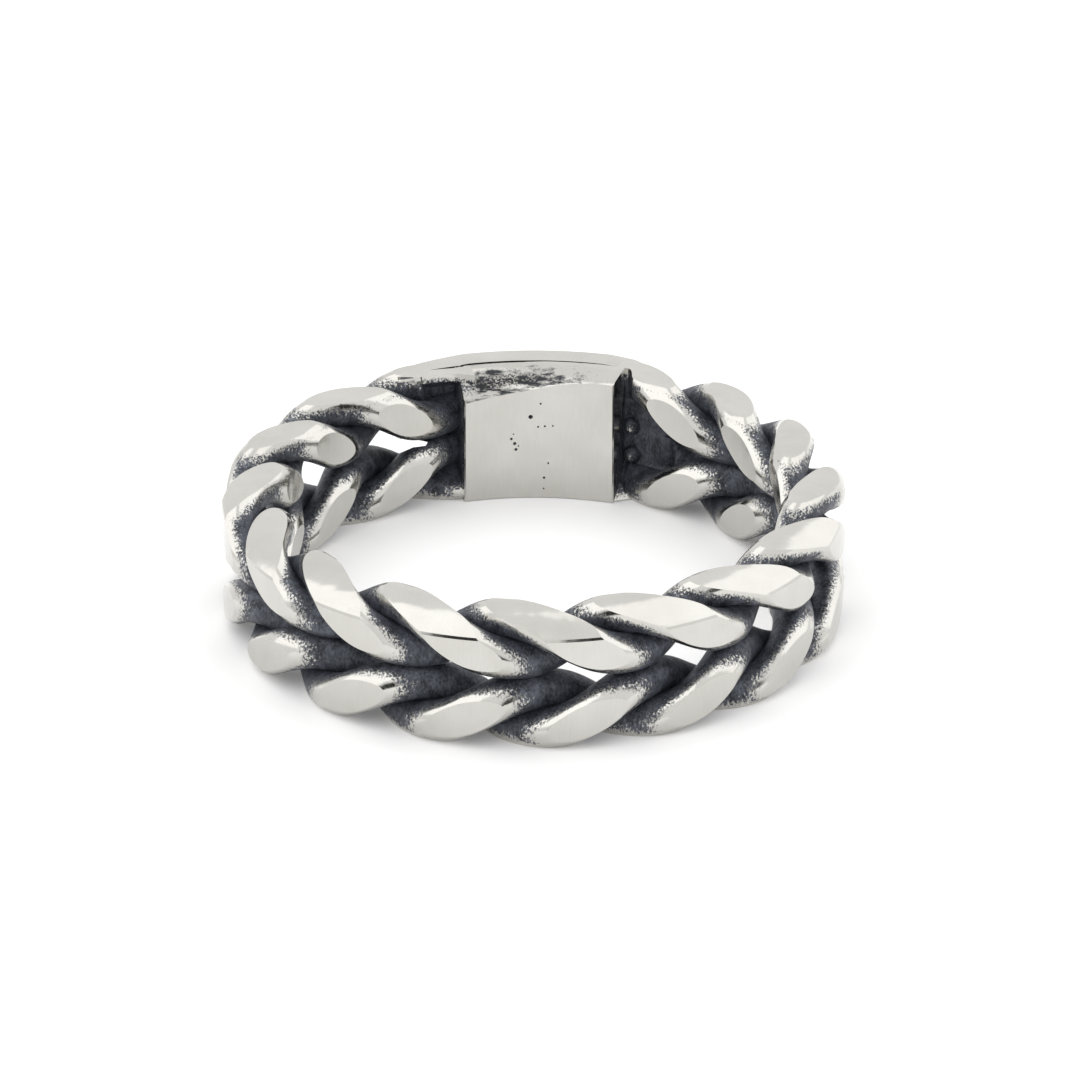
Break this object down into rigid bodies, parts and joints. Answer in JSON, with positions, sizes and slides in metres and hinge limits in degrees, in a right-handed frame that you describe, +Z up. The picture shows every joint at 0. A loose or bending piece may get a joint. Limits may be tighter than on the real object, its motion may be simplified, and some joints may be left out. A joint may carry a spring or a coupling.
{
  "type": "braided knot ring",
  "caption": "Braided finger ring cast in solid silver: mirrored twisted ropes side by side, joined by a plain plate at the back, worn round a finger.",
  "frame": {"origin": "middle of the finger hole on the surface that the ring rests on", "axes": "+Z up along the axis of the finger hole, +Y towards the plain plate at the back of the ring, +X to the right of someone who looks at the front"},
  "size_m": [0.022, 0.022, 0.0049],
  "materials": {
    "silver": "polished sterling silver, oxidised black in the hollows"
  },
  "bodies": {
    "root": {"ring": "silver"}
  },
  "joints": []
}
